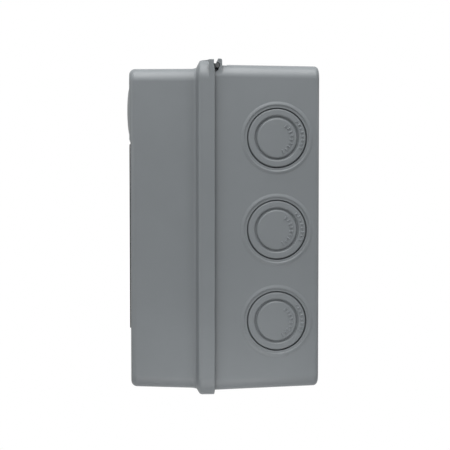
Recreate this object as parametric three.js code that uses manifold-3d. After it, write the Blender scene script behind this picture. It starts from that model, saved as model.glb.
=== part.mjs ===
// Wall-mounted electrical junction box: a moulded back box with knockouts, a deep top-hung
// cover on two hinge pins, two captive cover screws, and a mounting plate inside with a
// DIN rail and its terminals.
// Millimetres. The wall face is the plane y = 0, the front faces -Y, +Z is up.

import * as THREE from 'three';
import { mergeVertices } from 'three/addons/utils/BufferGeometryUtils.js';
import Module from 'manifold-3d';

const wasm = await Module();
wasm.setup();

// ---------------------------------------------------------------- driving dimensions

const gap = 0.3; // between pieces that touch on the real object
const wall = 2.5; // moulded wall thickness
const degree = Math.PI / 180;

// Depths are measured from the wall face towards the front.
const lipRear = 55.0; // rear edge of the cover's lip, which wraps round the back box
const sealPlane = 58.8; // front edge of the back box's wall, inside that lip
const coverRear = 59.2; // the cover's face in front of that edge
const slantStart = 62.2; // where the cover's flange starts to slope in
const skirtStart = 64.4; // where the slope meets the cover's skirt
const coverFront = 99.2; // front face of the cover

const rim = { half: 62.2, top: 88.1, bottom: -88.3, radius: 9.5 };
const box = { half: 60, top: 85.8, bottom: -85.8, radius: 7 };
const skirt = { half: 58.6, top: 83.7, bottom: -84.9, radius: 7 };
const boxDraft = { side: 0, top: 0.7, bottom: 2.0 }; // degrees
const skirtDraft = { side: 1.0, top: 0.5, bottom: 2.0 };

const tongueFront = 60.9; // front edge of the back box's sealing tongue
const tongueWall = 1.4;
const channelClearance = 0.5; // tongue to the cover's channel
const channelDepth = 63.0; // floor of the gasket channel in the cover

const knockout = { depth: 22.3, spacing: 47.9, centreZ: -0.6, discRadius: 10.6,
  ringInner: 11.8, ringOuter: 15.5, holeRadius: 16.8, thickness: 2.0, padRadius: 18.4,
  padProud: 0.3 };

const hinge = { depth: 53.4, z: 85.0, pinRadius: 0.8, barrelRadius: 1.4, earTop: 88.9,
  outerEar: [55.6, 59.8], innerEar: [44.2, 47.4], lug: [48.0, 55.0], pocketFront: 55.3,
  pocketRear: 48.0, pocketFloor: 82.9, strapZ: 86.2, strapTail: 55.1, notch: [43.6, 60.2] };
const cornerTab = { inner: 60.2, rear: 55.4, front: 57.8, bottom: 78 };

const coverScrew = { x: 50, z: -74, seatDepth: 66.5, floor: 2.6, wellRadius: 4.7,
  columnRadius: 6.7, headRadius: 3.8, headHeight: 3.5, shankRadius: 1.95, tipDepth: 52,
  washer: 1.0 };
const screwPost = { radius: 5.6, front: 60, insertOuter: 3.5, insertBore: 2.5, insertLength: 10 };

const plate = { halfWidth: 50, halfHeight: 58, rearDepth: 10.3, thickness: 1.5, radius: 3,
  holeX: 42, holeZ: 50, postRadius: 4.5 };
const rail = { halfWidth: 49, rearDepth: 12.1, height: 7.5, gauge: 1.0, brim: 17.5, web: 13.5,
  screwX: 43 };
const terminal = { count: 6, pitch: 8.2, width: 7.9, firstX: -24.6 };

const plugZ = 64;
const label = { half: 42, top: 44.5, bottom: -54.3, thickness: 0.9, radius: 3 };

const wallHole = { x: 38, z: 74, radius: 2.75 };

// ---------------------------------------------------------------- materials

function finish(color, roughness, metalness) {
  return new THREE.MeshStandardMaterial({ color, roughness, metalness });
}

const greyPlastic = finish(0x8e9496, 0.6, 0);
const darkPlastic = finish(0x1d1f20, 0.45, 0);
const greyTerminal = finish(0xb9bcb8, 0.5, 0);
const greenPlastic = finish(0x5f9a3a, 0.5, 0);
const rubber = finish(0x232425, 0.85, 0);
const zinc = finish(0xb8bcc0, 0.35, 1);
const brass = finish(0xc0a050, 0.3, 1);

// ---------------------------------------------------------------- solids and meshes

function solid(geometry) {
  const bare = geometry.index ? geometry.toNonIndexed() : geometry.clone();
  bare.deleteAttribute('normal');
  bare.deleteAttribute('uv');
  const merged = mergeVertices(bare, 1e-4);
  return new wasm.Manifold(new wasm.Mesh({
    numProp: 3,
    vertProperties: new Float32Array(merged.attributes.position.array),
    triVerts: new Uint32Array(merged.index.array),
  }));
}

function join(first, ...others) {
  return others.reduce((sum, other) => sum.add(other), first);
}

function cut(body, ...tools) {
  return tools.reduce((rest, tool) => rest.subtract(tool), body);
}

function meshOf(name, body, material) {
  const data = body.getMesh();
  const geometry = new THREE.BufferGeometry();
  geometry.setAttribute('position', new THREE.BufferAttribute(data.vertProperties, 3));
  geometry.setIndex(new THREE.BufferAttribute(data.triVerts, 1));
  geometry.computeVertexNormals();
  const mesh = new THREE.Mesh(geometry, material);
  mesh.name = name;
  return mesh;
}

// A box given by its low and high corners.
function block(low, high) {
  const size = high.map((value, axis) => value - low[axis]);
  const geometry = new THREE.BoxGeometry(...size);
  geometry.translate(...low.map((value, axis) => value + size[axis] / 2));
  return solid(geometry);
}

// A round bar along Y, from one depth to another.
function barY(x, z, radius, fromDepth, toDepth, segments = 24) {
  const geometry = new THREE.CylinderGeometry(radius, radius, toDepth - fromDepth, segments);
  geometry.translate(x, -(fromDepth + toDepth) / 2, z);
  return solid(geometry);
}

// A round bar along X.
function barX(y, z, radius, fromX, toX, segments = 24) {
  const geometry = new THREE.CylinderGeometry(radius, radius, toX - fromX, segments);
  geometry.rotateZ(-Math.PI / 2);
  geometry.translate((fromX + toX) / 2, y, z);
  return solid(geometry);
}

// A round-cornered rectangle in X and Z.
function outline({ half, top, bottom, radius }) {
  const shape = new THREE.Shape();
  shape.moveTo(-half + radius, bottom);
  shape.absarc(half - radius, bottom + radius, radius, -Math.PI / 2, 0);
  shape.absarc(half - radius, top - radius, radius, 0, Math.PI / 2);
  shape.absarc(-half + radius, top - radius, radius, Math.PI / 2, Math.PI);
  shape.absarc(-half + radius, bottom + radius, radius, Math.PI, Math.PI * 1.5);
  shape.closePath();
  return shape;
}

// The outline moved inwards by a distance on all sides.
function inset(frame, distance) {
  return {
    half: frame.half - distance,
    top: frame.top - distance,
    bottom: frame.bottom + distance,
    radius: Math.max(frame.radius - distance, 1),
  };
}

// An outline pushed from one depth to another. Its far end is the outline narrowed by
// narrow = { side, top, bottom } in millimetres.
function prism(frame, fromDepth, toDepth, narrow = { side: 0, top: 0, bottom: 0 }) {
  const depth = Math.abs(toDepth - fromDepth);
  const geometry = new THREE.ExtrudeGeometry(outline(frame),
    { depth, bevelEnabled: false, curveSegments: 6 });
  const position = geometry.attributes.position;
  for (let i = 0; i < position.count; i += 1) {
    if (position.getZ(i) > depth / 2) {
      const x = position.getX(i);
      const z = position.getY(i);
      const zLimit = z > 0 ? frame.top : -frame.bottom;
      const zNarrow = z > 0 ? narrow.top : narrow.bottom;
      position.setX(i, x * (frame.half - narrow.side) / frame.half);
      position.setY(i, z * (zLimit - zNarrow) / zLimit);
    }
  }
  geometry.rotateX(Math.PI / 2);
  if (toDepth < fromDepth) {
    // The outline's own end faces the front: mirror the prism and turn its faces out again.
    geometry.scale(1, -1, 1);
    const flipped = geometry.attributes.position.array;
    for (let i = 0; i < flipped.length; i += 9) {
      for (let axis = 0; axis < 3; axis += 1) {
        const kept = flipped[i + 3 + axis];
        flipped[i + 3 + axis] = flipped[i + 6 + axis];
        flipped[i + 6 + axis] = kept;
      }
    }
  }
  geometry.translate(0, -fromDepth, 0);
  return solid(geometry);
}

function draftOver(draft, length) {
  return {
    side: length * Math.tan(draft.side * degree),
    top: length * Math.tan(draft.top * degree),
    bottom: length * Math.tan(draft.bottom * degree),
  };
}

// A closed outline of [depth, z] points pushed along X.
function profileX(points, fromX, toX) {
  const shape = new THREE.Shape(points.map(([depth, z]) => new THREE.Vector2(-depth, z)));
  const geometry = new THREE.ExtrudeGeometry(shape, { depth: toX - fromX, bevelEnabled: false });
  geometry.applyMatrix4(new THREE.Matrix4().makeBasis(
    new THREE.Vector3(0, 1, 0), new THREE.Vector3(0, 0, 1), new THREE.Vector3(1, 0, 0)));
  geometry.translate(fromX, 0, 0);
  return solid(geometry);
}

const sides = [['left', -1], ['right', 1]];

// [low, high] on the right side, mirrored for the left side.
function span([low, high], side) {
  return side > 0 ? [low, high] : [-high, -low];
}

// ---------------------------------------------------------------- back box

function knockoutCentres() {
  const centres = [];
  for (const [sideName, side] of sides) {
    for (let row = 0; row < 3; row += 1) {
      const z = knockout.centreZ + (1 - row) * knockout.spacing;
      centres.push({ name: `${sideName}_${row + 1}`, side, z });
    }
  }
  return centres;
}

// An ear is a plate; the mouth cut into it leaves a hook, open to the front, that the
// hinge pin snaps into.
function earProfile() {
  return [
    [54.8, 77.5],
    [54.8, 86.15],
    [53.9, 86.15],
    [53.0, 88.5],
    [52.7, hinge.earTop],
    [51.4, hinge.earTop],
    [51.0, hinge.earTop - 0.4],
    [50.9, 77.5],
  ];
}

function hookMouth() {
  return [
    [54.9, 81.8],
    [53.7, 83.8],
    [52.35, 84.0],
    [52.35, 86.05],
    [53.9, 86.2],
    [54.9, 86.3],
  ];
}

function makeBackBox() {
  const bodyBack = prism(box, lipRear, 0, draftOver(boxDraft, lipRear));
  const bodyFront = prism(box, lipRear, sealPlane - 0.3);
  const frontEdge = prism(box, sealPlane - 0.3, sealPlane, { side: 0.3, top: 0.3, bottom: 0.3 });
  const tongueOuter = inset(box, wall - tongueWall);
  const tongue = prism(tongueOuter, sealPlane - 1, tongueFront);
  const cavityBack = prism(inset(box, wall), lipRear, wall, draftOver(boxDraft, lipRear - wall));
  const cavityFront = prism(inset(box, wall), lipRear - 0.01, tongueFront + 1);
  let shell = cut(join(bodyBack, bodyFront, frontEdge, tongue), cavityBack, cavityFront);

  const features = [];
  const holes = [];
  for (const [, side] of sides) {
    // Hinge ears, with a thicker wall under the pocket that the cover's lug turns in.
    const [padLow, padHigh] = span([43.5, 57.2], side);
    features.push(block([padLow, -hinge.pocketFront - 2, 80.2], [padHigh, -hinge.pocketRear + 3, 84.4]));
    for (const ear of [hinge.outerEar, hinge.innerEar]) {
      const [low, high] = span(ear, side);
      features.push(profileX(earProfile(), low, high));
      holes.push(profileX(hookMouth(), low - 0.1, high + 0.1));
    }
    const [lugLow, lugHigh] = span([hinge.lug[0] - 0.6, hinge.lug[1] + 0.6], side);
    holes.push(block([lugLow, -hinge.pocketFront, hinge.pocketFloor],
      [lugHigh, -hinge.pocketRear, 90]));

    // Cover screw posts and plate posts.
    const x = coverScrew.x * side;
    features.push(barY(x, coverScrew.z, screwPost.radius, wall - 0.5, screwPost.front));
    holes.push(barY(x, coverScrew.z, screwPost.insertOuter + gap,
      screwPost.front - screwPost.insertLength - gap, screwPost.front + 1));
    holes.push(barY(x, coverScrew.z, screwPost.insertBore, 40, screwPost.front, 16));
    for (const end of [-1, 1]) {
      features.push(barY(plate.holeX * side, plate.holeZ * end, plate.postRadius,
        wall - 0.5, plate.rearDepth - gap));
      holes.push(barY(plate.holeX * side, plate.holeZ * end, 1.6, wall + 1, plate.rearDepth, 12));
      holes.push(barY(wallHole.x * side, wallHole.z * end, wallHole.radius, -1, wall + 1, 20));
    }
  }
  for (const { side, z } of knockoutCentres()) {
    const [padLow, padHigh] = span([box.half - 1, box.half + knockout.padProud], side);
    features.push(barX(-knockout.depth, z, knockout.padRadius, padLow, padHigh, 40));
    const [low, high] = span([box.half - wall - 1, box.half + 1], side);
    holes.push(barX(-knockout.depth, z, knockout.holeRadius, low, high, 40));
  }
  shell = cut(join(shell, ...features), ...holes);
  return meshOf('back_box', shell, greyPlastic);
}

function makeKnockouts() {
  const meshes = [];
  for (const { name, side, z } of knockoutCentres()) {
    const face = box.half + knockout.padProud;
    const [low, high] = span([face - knockout.thickness, face], side);
    const disc = barX(-knockout.depth, z, knockout.discRadius, low, high, 32);
    meshes.push(meshOf(`knockout_disc_${name}`, disc, greyPlastic));
    const ring = cut(barX(-knockout.depth, z, knockout.ringOuter, low, high, 36),
      barX(-knockout.depth, z, knockout.ringInner, low - 1, high + 1, 36));
    meshes.push(meshOf(`knockout_ring_${name}`, ring, greyPlastic));
  }
  return meshes;
}

// ---------------------------------------------------------------- cover

function lugProfile() {
  const tail = hinge.strapTail;
  return [
    [coverRear + 2.0, hinge.strapZ],
    [tail, hinge.strapZ],
    [tail - 0.25, 85.8],
    [hinge.depth + 1.35, hinge.z],
    [hinge.depth - 1.35, hinge.z],
    [hinge.depth - 0.6, hinge.z + 1.25],
    [tail, hinge.z + 1.5],
    [tail, hinge.earTop - 0.3],
    [tail + 0.3, hinge.earTop],
    [57.8, hinge.earTop],
    [58.5, 88.1],
    [coverRear + 2.0, 87.9],
  ];
}

function makeCover() {
  const rimBody = prism(rim, lipRear + 0.5, slantStart);
  const rimEdge = prism(rim, lipRear + 0.5, lipRear, { side: 0.4, top: 0.5, bottom: 0.4 });
  const slope = prism(rim, slantStart, skirtStart, {
    side: rim.half - skirt.half,
    top: rim.top - skirt.top,
    bottom: skirt.bottom - rim.bottom,
  });
  const skirtBody = prism(skirt, skirtStart - 0.5, coverFront,
    draftOver(skirtDraft, coverFront - skirtStart));
  let shell = join(rimBody, rimEdge, slope, skirtBody);

  const channel = inset(box, wall - tongueWall - channelClearance);
  const cavity = prism(inset(skirt, wall), coverRear - 1, coverFront - wall,
    draftOver(skirtDraft, coverFront - wall - coverRear));
  const lipCavity = prism(inset(box, -gap), lipRear - 1, coverRear);
  shell = cut(shell, lipCavity, prism(channel, coverRear - 1, channelDepth), cavity);
  for (const [, side] of sides) {
    // The lip is open over the hinge, so that the ears stay clear as the cover swings,
    // and a squared tab stands at the corner beside that opening.
    const [low, high] = span(hinge.notch, side);
    shell = cut(shell, block([low, -coverRear - 0.1, 80], [high, -lipRear + 1, 95]));
    const [tabLow, tabHigh] = span([cornerTab.inner, rim.half], side);
    shell = join(shell, block([tabLow, -cornerTab.front, cornerTab.bottom],
      [tabHigh, -cornerTab.rear, hinge.earTop]));
  }

  const features = [];
  const holes = [barY(0, plugZ, 11.3, coverFront - wall - 1, coverFront + 1, 32)];
  for (const [, side] of sides) {
    const [low, high] = span(hinge.lug, side);
    const lug = join(profileX(lugProfile(), low, high),
      barX(-hinge.depth, hinge.z, hinge.barrelRadius, low, high, 16));
    features.push(cut(lug,
      barX(-hinge.depth, hinge.z, hinge.pinRadius + gap / 2, low - 1, high + 1, 12)));
    const x = coverScrew.x * side;
    features.push(barY(x, coverScrew.z, coverScrew.columnRadius,
      coverScrew.seatDepth - coverScrew.floor, coverFront - 1));
    holes.push(barY(x, coverScrew.z, coverScrew.wellRadius, coverScrew.seatDepth, coverFront + 1));
    holes.push(barY(x, coverScrew.z, coverScrew.shankRadius + 0.35, coverScrew.seatDepth - 5,
      coverScrew.seatDepth + 1, 16));
  }
  shell = cut(join(shell, ...features), ...holes);
  return meshOf('front_cover', shell, greyPlastic);
}

function makeGasket() {
  const outer = inset(box, wall - tongueWall - channelClearance + gap);
  const inner = inset(skirt, wall - 0.4);
  const ring = cut(prism(outer, tongueFront + 0.5, channelDepth - gap),
    prism(inner, tongueFront, channelDepth + 1));
  return meshOf('cover_gasket', ring, rubber);
}

function makeLabel() {
  const rear = coverFront + gap;
  return meshOf('label_plate', prism(label, rear, rear + label.thickness), darkPlastic);
}

// Profile points are [radius, depth]; the solid is turned about a line along Y at (x, z).
function turned(points, x, z, segments = 32) {
  const profile = points.map(([radius, depth]) => new THREE.Vector2(radius, -depth));
  const geometry = new THREE.LatheGeometry(profile, segments);
  geometry.translate(x, 0, z);
  return solid(geometry);
}

function makePlug() {
  const face = coverFront + gap + 0.3;
  const plug = turned([
    [0, face + 1.8],
    [4, face + 1.7],
    [8, face + 1.3],
    [11.5, face + 0.75],
    [14.2, face + 0.1],
    [14.2, face - 0.3],
    [11.0, face - 0.3],
    [11.0, coverFront - 9],
    [9.0, coverFront - 9],
    [9.0, face - 1.2],
    [0, face - 1.2],
  ], 0, plugZ, 36);
  const nut = cut(barY(0, plugZ, 14.5, coverFront - wall - 5.3, coverFront - wall - 1.5, 6),
    barY(0, plugZ, 11.3, 80, coverFront, 32));
  const seal = cut(barY(0, plugZ, 13.6, coverFront - wall - 1.2, coverFront - wall - gap, 32),
    barY(0, plugZ, 11.3, 80, coverFront, 32));
  return [
    meshOf('blanking_plug', plug, greyPlastic),
    meshOf('plug_nut', nut, darkPlastic),
    meshOf('plug_seal', seal, rubber),
  ];
}

function makeHingePins() {
  return sides.map(([sideName, side]) => {
    const [low, high] = span([hinge.innerEar[0] + 0.6, hinge.outerEar[1] - 0.6], side);
    const pin = barX(-hinge.depth, hinge.z, hinge.pinRadius, low, high, 12);
    return meshOf(`hinge_pin_${sideName}`, pin, zinc);
  });
}

function crossSlot(x, z, half, width, fromDepth, toDepth) {
  return join(
    block([x - half, -toDepth, z - width / 2], [x + half, -fromDepth, z + width / 2]),
    block([x - width / 2, -toDepth, z - half], [x + width / 2, -fromDepth, z + half]));
}

function makeCoverScrews() {
  const meshes = [];
  const { z, seatDepth, washer, shankRadius, headRadius, headHeight, tipDepth } = coverScrew;
  for (const [sideName, side] of sides) {
    const x = coverScrew.x * side;
    const washerRear = seatDepth + gap;
    const headRear = washerRear + washer + gap;
    const headFront = headRear + headHeight;
    const screw = cut(
      join(barY(x, z, headRadius, headRear, headFront, 20),
        barY(x, z, shankRadius, tipDepth, headRear + 1, 14)),
      crossSlot(x, z, 2.2, 0.9, headFront - 1.8, headFront + 1));
    meshes.push(meshOf(`cover_screw_${sideName}`, screw, zinc));
    const seal = cut(barY(x, z, 3.7, washerRear, washerRear + washer, 20),
      barY(x, z, shankRadius + gap, washerRear - 1, washerRear + 2, 14));
    meshes.push(meshOf(`screw_seal_${sideName}`, seal, rubber));
    const insert = cut(
      barY(x, z, screwPost.insertOuter, screwPost.front - screwPost.insertLength,
        screwPost.front - 0.1, 16),
      barY(x, z, screwPost.insertBore, 40, screwPost.front + 1, 16));
    meshes.push(meshOf(`screw_insert_${sideName}`, insert, brass));
  }
  return meshes;
}

// ---------------------------------------------------------------- inside

function panScrew(name, x, z, { bearing, headRadius, headHeight, shankRadius, tip }) {
  const screw = cut(
    join(barY(x, z, headRadius, bearing, bearing + headHeight, 16),
      barY(x, z, shankRadius, tip, bearing + 0.5, 12)),
    crossSlot(x, z, headRadius * 0.62, 0.8, bearing + headHeight - 1.1, bearing + headHeight + 1));
  return meshOf(name, screw, zinc);
}

function makePlate() {
  const frame = { half: plate.halfWidth, top: plate.halfHeight, bottom: -plate.halfHeight,
    radius: plate.radius };
  const front = plate.rearDepth + plate.thickness;
  const holes = [];
  const meshes = [];
  let count = 0;
  for (const x of [-plate.holeX, plate.holeX]) {
    for (const z of [plate.holeZ, -plate.holeZ]) {
      count += 1;
      holes.push(barY(x, z, 1.9, plate.rearDepth - 1, front + 1, 16));
      meshes.push(panScrew(`plate_screw_${count}`, x, z, { bearing: front + gap,
        headRadius: 3.2, headHeight: 2.2, shankRadius: 1.3, tip: plate.rearDepth - 5 }));
    }
  }
  for (const x of [-rail.screwX, rail.screwX]) {
    holes.push(barY(x, 0, 2.3, plate.rearDepth - 1, front + 1, 16));
  }
  meshes.push(meshOf('mounting_plate', cut(prism(frame, plate.rearDepth, front), ...holes), zinc));
  return meshes;
}

function makeRail() {
  const { rearDepth: rear, height, gauge, brim, web, halfWidth, screwX } = rail;
  const hat = [
    [rear, -web],
    [rear, web],
    [rear + height - gauge, web],
    [rear + height - gauge, brim],
    [rear + height, brim],
    [rear + height, web - gauge],
    [rear + gauge, web - gauge],
    [rear + gauge, -web + gauge],
    [rear + height, -web + gauge],
    [rear + height, -brim],
    [rear + height - gauge, -brim],
    [rear + height - gauge, -web],
  ];
  const holes = [-screwX, screwX].map((x) => barY(x, 0, 2.3, rear - 1, rear + 3, 16));
  const meshes = [meshOf('din_rail', cut(profileX(hat, -halfWidth, halfWidth), ...holes), zinc)];
  ['left', 'right'].forEach((sideName, index) => {
    meshes.push(panScrew(`rail_screw_${sideName}`, index ? screwX : -screwX, 0, {
      bearing: rear + gauge + gap, headRadius: 3.6, headHeight: 2.4, shankRadius: 1.9, tip: 8.2 }));
  });
  return meshes;
}

// The outline of a rail-mounted block: a foot that hooks behind both brims of the rail,
// shoulders that slope to the wire entries, and a raised middle.
function railBlockProfile(foot, shoulder, middle) {
  const brimRear = rail.rearDepth + rail.height - rail.gauge - gap;
  const brimFront = rail.rearDepth + rail.height + gap;
  const hookZ = rail.brim + gap;
  return [
    [brimRear - 1.6, -foot],
    [brimRear - 1.6, -hookZ + 2.2],
    [brimRear, -hookZ + 2.2],
    [brimRear, -hookZ],
    [brimFront, -hookZ],
    [brimFront, hookZ],
    [brimRear, hookZ],
    [brimRear, hookZ - 2.2],
    [brimRear - 1.6, hookZ - 2.2],
    [brimRear - 1.6, foot],
    [shoulder - 8, foot],
    [shoulder, middle + 3],
    [shoulder, middle],
    [shoulder + 5, middle - 2],
    [shoulder + 5, -middle + 2],
    [shoulder, -middle],
    [shoulder, -middle - 3],
    [shoulder - 8, -foot],
  ];
}

function makeTerminal(name, x, material) {
  const half = terminal.width / 2;
  const shoulder = 40;
  const body = profileX(railBlockProfile(22, shoulder, 11), x - half, x + half);
  const pockets = [];
  for (const end of [-1, 1]) {
    pockets.push(barY(x, end * 7, 2.4, shoulder + 1, shoulder + 6, 12));
    const [low, high] = span([14.6, 24], end);
    pockets.push(block([x - 2.2, -33.5, low], [x + 2.2, -28.5, high]));
  }
  return meshOf(name, cut(body, ...pockets), material);
}

function makeEndStop(name, x) {
  const half = 3.0;
  const body = profileX(railBlockProfile(21, 30, 8), x - half, x + half);
  const well = barY(x, 0, 2.2, 31, 36, 12);
  return meshOf(name, cut(body, well), greyTerminal);
}

function makeTerminals() {
  const meshes = [];
  for (let i = 0; i < terminal.count; i += 1) {
    const x = terminal.firstX + i * terminal.pitch;
    meshes.push(makeTerminal(`terminal_block_${i + 1}`, x, greyTerminal));
  }
  const earthX = terminal.firstX + terminal.count * terminal.pitch;
  meshes.push(makeTerminal('earth_terminal', earthX, greenPlastic));
  const stopOffset = terminal.width / 2 + 3.0 + gap;
  meshes.push(makeEndStop('end_stop_left', terminal.firstX - stopOffset));
  meshes.push(makeEndStop('end_stop_right', earthX + stopOffset));
  return meshes;
}

// ---------------------------------------------------------------- assembly

const group = new THREE.Group();
group.add(
  makeBackBox(),
  ...makeKnockouts(),
  makeCover(),
  makeGasket(),
  makeLabel(),
  ...makePlug(),
  ...makeHingePins(),
  ...makeCoverScrews(),
  ...makePlate(),
  ...makeRail(),
  ...makeTerminals(),
);

export default group;
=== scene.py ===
"""The looks of a wall-mounted electrical junction box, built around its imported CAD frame.

Lengths are millimetres, and place() turns a finished mesh to metres. Only the lights and the
camera are set in metres. A depth is measured from the wall face (y = 0) to the front (-Y).
"""

import math

import bmesh
import bpy
from mathutils import Matrix, Vector


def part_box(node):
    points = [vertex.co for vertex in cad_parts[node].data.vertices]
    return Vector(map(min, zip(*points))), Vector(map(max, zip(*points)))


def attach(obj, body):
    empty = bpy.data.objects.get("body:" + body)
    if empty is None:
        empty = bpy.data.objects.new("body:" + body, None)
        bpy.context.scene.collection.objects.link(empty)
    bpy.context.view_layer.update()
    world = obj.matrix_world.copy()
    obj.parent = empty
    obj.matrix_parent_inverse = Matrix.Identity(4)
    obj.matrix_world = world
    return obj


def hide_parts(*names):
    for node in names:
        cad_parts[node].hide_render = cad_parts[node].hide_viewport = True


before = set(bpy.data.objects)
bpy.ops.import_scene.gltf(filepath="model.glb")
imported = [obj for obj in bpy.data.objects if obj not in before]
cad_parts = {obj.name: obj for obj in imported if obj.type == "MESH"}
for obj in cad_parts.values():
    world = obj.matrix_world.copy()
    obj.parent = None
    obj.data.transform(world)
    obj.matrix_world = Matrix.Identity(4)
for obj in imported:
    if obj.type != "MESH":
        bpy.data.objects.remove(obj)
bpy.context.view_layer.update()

MM = 0.001


# ---------------------------------------------------------------- sizes taken from the frame


def cad_low(node):
    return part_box(node)[0] / MM


def cad_high(node):
    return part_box(node)[1] / MM


def cad_centre(node):
    return (cad_low(node) + cad_high(node)) / 2


def cad_depths(node):
    """The depths of a CAD piece's rear and front."""
    return -cad_high(node).y, -cad_low(node).y


BACK_LOW = cad_low("back_box")
COVER_LOW, COVER_HIGH = cad_low("front_cover"), cad_high("front_cover")

WALL = 2.5
LIP_REAR = 54.75
LIP_GAP = 0.3
SEAL_PLANE = 58.8
COVER_REAR = 59.2
SLANT_SIDE, SLANT_TOP = 62.95, 62.2
SKIRT_SIDE, SKIRT_TOP = 64.9, 64.4
SKIRT_START = 64.9
COVER_FRONT = -COVER_LOW.y
TONGUE_FRONT = -BACK_LOW.y
TONGUE_WALL = 1.4
INSIDE_FILLET = 2.0
BACK_FILLET = 2.2
FRONT_FILLET = 3.0
CHANNEL_CLEARANCE = 0.5
CHANNEL_DEPTH = 63.0

RIM = {"half": COVER_HIGH.x, "top": 88.1, "bottom": COVER_LOW.z, "radius": 10.3}
BOX = {"half": 60.0, "top": 85.8, "bottom": -85.8, "radius": 7.0}
SKIRT = {"half": 58.6, "top": 83.7, "bottom": -84.9, "radius": 7.0}
BOX_DRAFT = {"side": 0.0, "top": 0.7, "bottom": 2.0}
SKIRT_DRAFT = {"side": 1.0, "top": 0.5, "bottom": 2.0}

SIDES = {"left": -1, "right": 1}
KNOCKOUT_ROWS = (1, 2, 3)
KNOCKOUT_FACE = cad_high("knockout_disc_right_1").x - 0.1
KNOCKOUT_THICKNESS = 2.3
BEAD_INNER = 15.72
BEAD_BASE = 2.1

HINGE_DEPTH, HINGE_Z = 53.4, 85.0
HINGE_AXIS = (0, -HINGE_DEPTH, HINGE_Z)
PIN_RADIUS = 0.8
BARREL_RADIUS = 1.4
EAR_REAR, EAR_FRONT = 50.9, 54.8
EAR_TOP, EAR_FOOT = 88.4, 77.5
EAR_PAD = {"span": (43.5, 57.2), "bottom": 80.2, "top": 84.4}
OUTER_EAR = (55.6, 59.8)
INNER_EAR = (44.2, 47.4)
LUG = (48.0, 55.0)
POCKET_FRONT, POCKET_REAR = 55.3, 48.0
POCKET_FLOOR = 82.9
NOTCH_FLOOR = 80.0
ABOVE_BOX = 92.0
STRAP_Z = 86.2
STRAP_TAIL = 55.1
NOTCH = (43.6, 60.2)
TAB = {"inner": 60.2, "rear": 55.3, "front": 57.8, "bottom": 78.0, "top": 87.85}
PIN_HEAD = {"radius": 1.35, "inner": 59.15, "outer": 59.75}
FRONT_STEP = 0.55
STEP_TOP, STEP_BOTTOM = 46.5, 45.0

SCREW_X, SCREW_Z = 50.0, -74.0
SEAT_DEPTH = 66.5
SEAT_FLOOR = 2.6
WELL_RADIUS = 4.7
COLUMN_RADIUS = 6.7
POST_RADIUS = 5.6
POST_FRONT = 60.0
SCREW_HOLE_RADIUS = 2.3
INSERT_BORE_RADIUS = 2.5
INSERT_RADIUS = 3.5
INSERT_LENGTH = 10.0

PLATE_HOLE_X, PLATE_HOLE_Z = 42.0, 50.0
PLATE_REAR = cad_depths("mounting_plate")[0]
PLATE_POST_RADIUS = 4.5
PILOT_RADIUS = 1.4
WALL_HOLE_X, WALL_HOLE_Z = 38.0, 74.0
WALL_HOLE_RADIUS = 2.75
PLUG_Z = cad_centre("blanking_plug").z
PLUG_HOLE_RADIUS = 11.3
NUT_FLUTES = 12
COVER_SCREW = {"head_height": 3.5, "shank_radius": 1.95, "pitch": 1.8}
PLATE_SCREW = {"head_height": 2.2, "shank_radius": 1.3, "pitch": 1.1}
RAIL_SCREW = {"head_height": 2.4, "shank_radius": 1.9, "pitch": 0.7}
LABEL_THICKNESS = 0.8


# ---------------------------------------------------------------- mesh helpers


def new_object(name, bm, smooth_angle=32.0):
    """A mesh object in millimetres, smooth up to an angle; place() turns it to metres."""
    bmesh.ops.remove_doubles(bm, verts=bm.verts, dist=1e-4)
    bmesh.ops.recalc_face_normals(bm, faces=bm.faces)
    mesh = bpy.data.meshes.new(name)
    bm.to_mesh(mesh)
    bm.free()
    shade(mesh, smooth_angle)
    obj = bpy.data.objects.new(name, mesh)
    bpy.context.scene.collection.objects.link(obj)
    return obj


def shade(mesh, angle):
    mesh.shade_smooth()
    mesh.set_sharp_from_angle(angle=math.radians(angle))


def even_normals(obj):
    """Keeps flat faces flat beside small fillets."""
    modifier = obj.modifiers.new("even_normals", "WEIGHTED_NORMAL")
    modifier.keep_sharp = True
    modifier.weight = 60


def soften(obj, width):
    """Rounds the edges of a simple solid."""
    modifier = obj.modifiers.new("soft_edges", "BEVEL")
    modifier.width = width * MM
    modifier.segments = 2
    modifier.limit_method = "ANGLE"
    modifier.angle_limit = math.radians(30.0)
    modifier.harden_normals = True


def boolean(obj, tools, operation):
    """Joins the tools to obj, or cuts them from it, and removes the tools."""
    for tool in tools:
        modifier = obj.modifiers.new("boolean", "BOOLEAN")
        modifier.operation = operation
        modifier.solver = "EXACT"
        modifier.object = tool
    graph = bpy.context.evaluated_depsgraph_get()
    result = bpy.data.meshes.new_from_object(obj.evaluated_get(graph))
    obj.modifiers.clear()
    old = obj.data
    obj.data = result
    bpy.data.meshes.remove(old)
    for tool in tools:
        bpy.data.objects.remove(tool)


def finish_boolean(obj, smooth_angle=32.0):
    """Welds what the booleans left and sets the shading again."""
    bm = bmesh.new()
    bm.from_mesh(obj.data)
    bmesh.ops.remove_doubles(bm, verts=bm.verts, dist=0.002)
    bmesh.ops.dissolve_degenerate(bm, edges=bm.edges, dist=0.002)
    bmesh.ops.recalc_face_normals(bm, faces=bm.faces)
    bm.to_mesh(obj.data)
    bm.free()
    shade(obj.data, smooth_angle)
    even_normals(obj)


def arc(centre, radius, start, end, steps):
    """Points on an arc, angles in degrees, both ends included."""
    points = []
    for i in range(steps + 1):
        angle = math.radians(start + (end - start) * i / steps)
        points.append((centre[0] + radius * math.cos(angle), centre[1] + radius * math.sin(angle)))
    return points


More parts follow.
